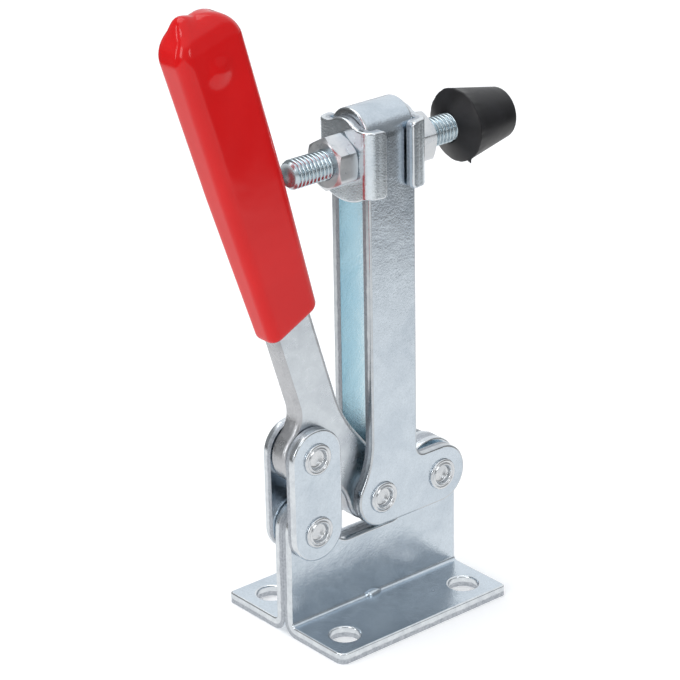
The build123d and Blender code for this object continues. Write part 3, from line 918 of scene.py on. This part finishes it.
def hex_section(angle):
    """A nut's section at an angle as (x, radius): out from the bore, over the flat and back to the bore."""
    land_r, worn_corner, sink_depth, sink_lip = NUT_FLATS * 0.482, 0.12, 0.75, 0.55
    off = (angle + pi / 6) % (pi / 3) - pi / 6
    rim = min(NUT_FLATS / 2 / cos(off), NUT_FLATS / sqrt(3) - worn_corner)
    back = max(0.0, (rim - land_r) * tan(radians(30))) + 0.02
    face = [(sink_depth, NUT_BORE), (0.03, NUT_BORE + sink_lip), (0.0, NUT_BORE + sink_lip + 0.1),
            (0.0, land_r - 0.1), (back, rim)]
    return face + [(NUT_HEIGHT / 2, rim)] + [(NUT_HEIGHT - x, r) for x, r in reversed(face)]


def hex_nut(n=96):
    """A hexagon nut about X from 0 to its height: chamfered corners and a countersunk bore."""
    bm = bmesh.new()
    angles = [2 * pi * i / n for i in range(n)]
    sections = [hex_section(a) for a in angles]
    rows = []
    for k in range(len(sections[0])):
        points = [(section[k], a) for section, a in zip(sections, angles)]
        rows.append([bm.verts.new((x, r * cos(a), r * sin(a))) for (x, r), a in points])
    for low, high in zip(rows, rows[1:] + rows[:1]):
        band(bm, low, high)
    return bm


for name, cad, x, turn in (("nut_back", "spindle_nut_rear", ARM_REAR - SADDLE_T - NUT_HEIGHT, 0),
                           ("nut_lock", "spindle_nut_front", ARM_FRONT + SADDLE_T, 11)):
    make_object(name, cad, at_spindle(hex_nut(), x, turn), "saddle", (BRIGHT,), sharp=24)
make_object("spindle_rod", "spindle_bolt", at_spindle(threaded_rod(SPINDLE_REAR, SPINDLE_FRONT)), "spindle",
            (THREAD,), sharp=50, weighted=False)


# ------------------------------------------------------------------ saddle washers

SADDLE_HALF = ARM_OUT + TAB_PLAY - SADDLE_BEND     # of the flat part between the bends
SADDLE_ARC = pi / 2 * (SADDLE_BEND + SADDLE_T / 2)
SADDLE_RUN = SADDLE_TAB - SADDLE_BEND              # of a tab beyond its bend
SADDLE_BELLY = 0.36                                # of a tab, outwards
SADDLE_WAVE = 0.72                                 # part of a half wave that the belly fills
SADDLE_HOLE_R = 4.3
SADDLE_OFF_ARM = 0.03                              # keeps the washer's face off the arm's edge


def saddle_outline():
    """The flat washer: square tabs, a domed top over the nut and a bowed lower edge."""
    top, corner, end = 9.25, 1.4, SADDLE_HALF + SADDLE_ARC + SADDLE_RUN
    dome_r, crest, fillet, fillet_off, trim = 7.0, 11.3, 1.0, 1.2, 8
    dome_z = crest - dome_r
    dome_half = sqrt(dome_r ** 2 - (top - dome_z) ** 2) + fillet_off
    dome_a = degrees(asin((top - dome_z) / dome_r)) + trim
    bow_r, bow_drop, wide, step_out, step_in = 15.5, 11.6, ARM_OUT + TAB_PLAY, 1.4, 0.5
    bow_z = bow_r - bow_drop
    bow_a = degrees(acos(wide / bow_r))
    low = bow_z - sqrt(bow_r ** 2 - wide ** 2)
    outline = arc(end - corner, -top + corner, corner, 270, 360, 15)
    outline += arc(end - corner, top - corner, corner, 0, 90, 15)
    outline += arc(dome_half, top + fillet, fillet, 270, 240, 15)
    outline += arc(0, dome_z, dome_r, dome_a, 180 - dome_a, 6)
    outline += arc(-dome_half, top + fillet, fillet, 300, 270, 15)
    outline += arc(-end + corner, top - corner, corner, 90, 180, 15)
    outline += arc(-end + corner, -top + corner, corner, 180, 270, 15)
    outline += [(-wide - step_out, -top), (-wide - step_in, low)]
    outline += arc(0, bow_z, bow_r, 180 + bow_a, 360 - bow_a, 6)
    outline += [(wide + step_in, low), (wide + step_out, -top)]
    return outline


def saddle(name, cad, face_x, way, bend_steps=8, tab_steps=7):
    """A flanged washer, drawn flat and bent round the edges of the arm."""
    hole = ring(0, 0, SADDLE_HOLE_R, 48)
    bm = plate_bmesh(saddle_outline(), [hole], edge_profile(SADDLE_T, roll=0.5, burr=0.14))
    marks = [SADDLE_HALF + SADDLE_ARC * i / bend_steps for i in range(bend_steps + 1)]
    marks += [SADDLE_HALF + SADDLE_ARC + SADDLE_RUN * i / tab_steps for i in range(1, tab_steps)]
    cut_lines(bm, 0, marks + [-m for m in marks])

    def place(p, q, w):
        side = 1 if p > 0 else -1
        s = abs(p)
        if s <= SADDLE_HALF:
            x, y = -w, s
        elif s >= SADDLE_HALF + SADDLE_ARC:
            run = s - SADDLE_HALF - SADDLE_ARC
            belly = w / SADDLE_T * SADDLE_BELLY * sin(SADDLE_WAVE * pi * run / SADDLE_RUN)
            x, y = SADDLE_BEND + run, SADDLE_HALF + SADDLE_BEND + w + belly
        else:
            turn = (s - SADDLE_HALF) / SADDLE_ARC * pi / 2
            r = SADDLE_BEND + w
            x, y = SADDLE_BEND - r * cos(turn), SADDLE_HALF + r * sin(turn)
        return face_x + way * x, side * y, SPINDLE_Z + q

    bend(bm, place)
    make_object(name, cad, bm, "saddle", (ZINC_WASHER, EDGE))


saddle("saddle_back", "saddle_washer_rear", ARM_REAR - SADDLE_OFF_ARM, 1)
saddle("saddle_lock", "saddle_washer_front", ARM_FRONT + SADDLE_OFF_ARM, -1)


# ------------------------------------------------------------------ rubber cap

# Back face, cone and rim, then the tapered body, as (x, radius) along the spindle
CAP_PROFILE = ((30.9, 0.0), (30.9, 4.0), (30.42, 4.12), (30.3, 4.3), (30.36, 4.6), (30.5, 4.9), (31.4, 6.7),
               (32.5, 8.85), (32.95, 9.65), (33.1, 9.9), (33.22, 10.05), (33.38, 10.14), (33.55, 10.12),
               (33.75, 10.06), (36.0, 9.62), (40.0, 8.84), (44.0, 8.05), (47.9, 7.28))
PAD_X = 49.5
PAD_ROUND = 1.0
PAD_R = 6.15             # inside the pad's rounded edge
FLASH_FROM = 9.95        # radius from which the rim's flash is uneven
FLASH_TO_X = 33.8
NUB_X = (33.2, 33.6)
NUB_ANGLE = 238
NUB_HALF_ANGLE = 3.6
NUB_HEIGHT = 1.1


def flash(angle, x):
    """How far the uneven flash and its nub stand out from the rim."""
    stand = 0.05 * sin(7 * angle) + 0.04 * sin(17 * angle + 1.3) + 0.03 * sin(31 * angle)
    if NUB_X[0] < x < NUB_X[1]:
        off = (degrees(angle) - NUB_ANGLE) % 360
        stand += NUB_HEIGHT * max(0.0, 1 - min(off, 360 - off) / NUB_HALF_ANGLE)
    return stand


def cap():
    """The moulded cap: a cone behind the rim, the flash line on the rim, a tapered body and a flat pad."""
    rounded = arc(PAD_X - PAD_ROUND, PAD_R, PAD_ROUND, 90, 0, 18)
    bm = lathe([*CAP_PROFILE, *rounded, (PAD_X - 0.02, 5.6), (PAD_X, 3.0), (PAD_X, 0.0)], 144)
    for vert in bm.verts:
        r = hypot(vert.co.y, vert.co.z)
        if r > FLASH_FROM and vert.co.x < FLASH_TO_X:
            grow = 1 + flash(atan2(vert.co.z, vert.co.y), vert.co.x) / r
            vert.co.y *= grow
            vert.co.z *= grow
    make_object("cap_body", "rubber_cap", at_spindle(bm), "spindle", (RUBBER,), sharp=40,
                weighted=False)


cap()


# ------------------------------------------------------------------ camera

IMAGE_PX = 680
FOCAL_PX = 2852.0
SENSOR = 36.0
CAMERA_AZIMUTH = -39.86
CAMERA_ELEVATION = 23.39
CAMERA_ROLL = -1.03
CAMERA_DISTANCE = 774.4
CAMERA_TARGET = (0.0, 10.104, 75.378)


def camera():
    """The photo's camera, as fitted to the clamp's corners, holes and edges."""
    az, el, roll = radians(CAMERA_AZIMUTH), radians(CAMERA_ELEVATION), radians(CAMERA_ROLL)
    back = Vector((sin(az) * cos(el), -cos(az) * cos(el), sin(el)))
    right = Vector((0, 0, 1)).cross(back).normalized()
    up = back.cross(right)
    matrix = Matrix((right * cos(roll) + up * sin(roll), up * cos(roll) - right * sin(roll), back))
    matrix = matrix.transposed().to_4x4()
    matrix.translation = Vector(CAMERA_TARGET) * MM + back * CAMERA_DISTANCE * MM
    data = bpy.data.cameras.new("camera")
    data.sensor_width = SENSOR
    data.sensor_fit = "HORIZONTAL"
    data.lens = SENSOR * FOCAL_PX / IMAGE_PX
    data.clip_start = 0.05
    data.clip_end = 20.0
    data.dof.use_dof = False
    rig = bpy.data.objects.new("camera", data)
    rig.matrix_world = matrix
    bpy.context.scene.collection.objects.link(rig)
    bpy.context.scene.camera = rig


# ------------------------------------------------------------------ floor, world and light, in metres

FLOOR_DROP = 0.00005               # keeps the floor off the base's underside
SHEET_WAY = (0.64, -0.77, 0.0)     # towards the sides where the reflected sheet ends
SHEET_FADE = (0.27, 0.36)          # how far that way it starts and stops fading


def softbox(name, place, aim_height, width, height, power):
    """A soft rectangular lamp that looks at the clamp's axis."""
    data = bpy.data.lights.new(name, "AREA")
    data.shape = "RECTANGLE"
    data.size = width
    data.size_y = height
    data.energy = power
    lamp = bpy.data.objects.new(name, data)
    lamp.location = place
    aim = Vector((0, 0, aim_height)) - Vector(place)
    lamp.rotation_euler = aim.to_track_quat("-Z", "Y").to_euler()
    bpy.context.scene.collection.objects.link(lamp)


def floor_material():
    """Matt white, a little brighter for the camera; reflections see a lit sheet that ends on two sides."""
    made, tree, shader, coords = material("floor_white")
    path = node(tree, "ShaderNodeLightPath", {}).outputs
    tone = noise(tree, coords, scale=3.0, detail=2, rough=0.5)
    fill(tree, shader, {
        "Base Color": ramp(tree, tone, [(0.3, grey(0.91)), (0.7, grey(0.93))]),
        "Roughness": 0.9,
        "Specular IOR Level": 0.1,
        "Emission Color": WHITE,
        "Emission Strength": maths(tree, "MULTIPLY", path["Is Camera Ray"], 0.22),
    })
    away = maths(tree, "ABSOLUTE", reach(tree, coords, SHEET_WAY))
    sheet = node(tree, "ShaderNodeEmission",
                 {"Color": WHITE, "Strength": levels(tree, away, SHEET_FADE, (1.0, 0.12), SMOOTH)})
    seen = mixed_shader(tree, mirrored(tree, path), shader.outputs[0], sheet.outputs[0])
    fill(tree, tree.nodes["Material Output"], {"Surface": seen})
    return made


def floor():
    """A round white floor under the clamp."""
    bm = bmesh.new()
    bmesh.ops.create_circle(bm, cap_ends=True, radius=6.0, segments=96)
    mesh = bpy.data.meshes.new("floor")
    bm.to_mesh(mesh)
    bm.free()
    mesh.materials.append(floor_material())
    piece = bpy.data.objects.new("floor", mesh)
    piece.location = (0, 0, -FLOOR_DROP)
    bpy.context.scene.collection.objects.link(piece)


def world():
    """Pale light on the clamp, pure white for the camera, and a room with two dim sides for reflections."""
    studio = bpy.data.worlds.new("studio")
    bpy.context.scene.world = studio
    studio.use_nodes = True
    tree = studio.node_tree
    path = node(tree, "ShaderNodeLightPath", {}).outputs
    direction = node(tree, "ShaderNodeTexCoord", {}).outputs["Generated"]
    height = node(tree, "ShaderNodeSeparateXYZ", {0: direction}).outputs["Z"]

    def dim_side(way, side_fade, most, top_fade):
        """How dark the room is on one side, below a height."""
        across = levels(tree, reach(tree, direction, way), side_fade, (0.0, most), SMOOTH)
        return maths(tree, "MULTIPLY", across, levels(tree, height, top_fade, (1.0, 0.0), SMOOTH))

    front = dim_side(way=(0.20, -0.98, 0.0), side_fade=(0.05, 0.50), most=0.68, top_fade=(0.44, 0.62))
    rear = dim_side(way=(-0.64, 0.77, 0.0), side_fade=(0.36, 0.66), most=0.74, top_fade=(0.62, 0.80))
    light = tree.nodes["Background"]
    fill(tree, light, {"Color": (0.93, 0.96, 1.0), "Strength": 0.70})
    white = node(tree, "ShaderNodeBackground", {"Color": WHITE, "Strength": 1.0})
    undimmed = maths(tree, "SUBTRACT", 1.0, maths(tree, "ADD", front, rear))
    room = node(tree, "ShaderNodeBackground", {"Color": (0.97, 0.985, 1.0), "Strength": undimmed})
    lit = mixed_shader(tree, mirrored(tree, path), light.outputs[0], room.outputs[0])
    seen = mixed_shader(tree, path["Is Camera Ray"], lit, white.outputs[0])
    fill(tree, tree.nodes["World Output"], {"Surface": seen})


camera()
floor()
world()
softbox("left_strip", (-1.15, 0.55, 0.38), 0.10, width=0.14, height=0.75, power=1.6)
softbox("left_box", (-1.15, -0.30, 0.55), 0.10, width=0.32, height=0.65, power=2.6)
softbox("top", (-0.15, 0.35, 1.25), 0.05, width=1.1, height=1.1, power=6.5)
softbox("front_box", (-0.10, -1.25, 0.50), 0.12, width=0.35, height=0.35, power=1.4)
bpy.context.scene.view_settings.view_transform = "Standard"
